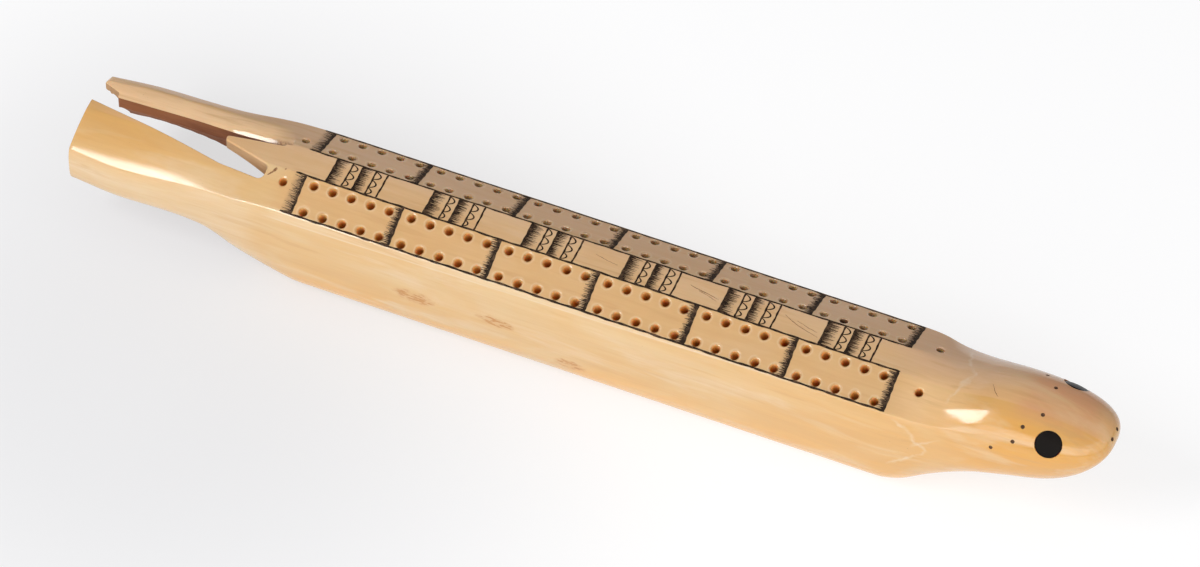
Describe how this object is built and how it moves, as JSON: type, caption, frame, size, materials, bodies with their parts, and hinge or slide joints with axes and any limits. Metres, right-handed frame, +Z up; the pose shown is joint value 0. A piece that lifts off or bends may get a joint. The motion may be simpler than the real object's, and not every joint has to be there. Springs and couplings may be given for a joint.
{
  "type": "scrimshaw cribbage board",
  "caption": "Ivory cribbage board carved as a lying seal: raised playing strip, sloping drilled panels, round head with inlaid black eyes, split hollow tail.",
  "frame": {"origin": "rest plane under the middle of the playing board, where the flat underside is centred", "axes": "+X to the seal's head along the board, +Y to the animal's left, +Z up out of the playing surface"},
  "size_m": [0.2909, 0.0348, 0.0403],
  "materials": {
    "ivory": "polished ivory",
    "eye_black": "satin black inlay"
  },
  "bodies": {
    "root": {"seal_body": "ivory", "left_eye": "eye_black", "right_eye": "eye_black"}
  },
  "joints": []
}
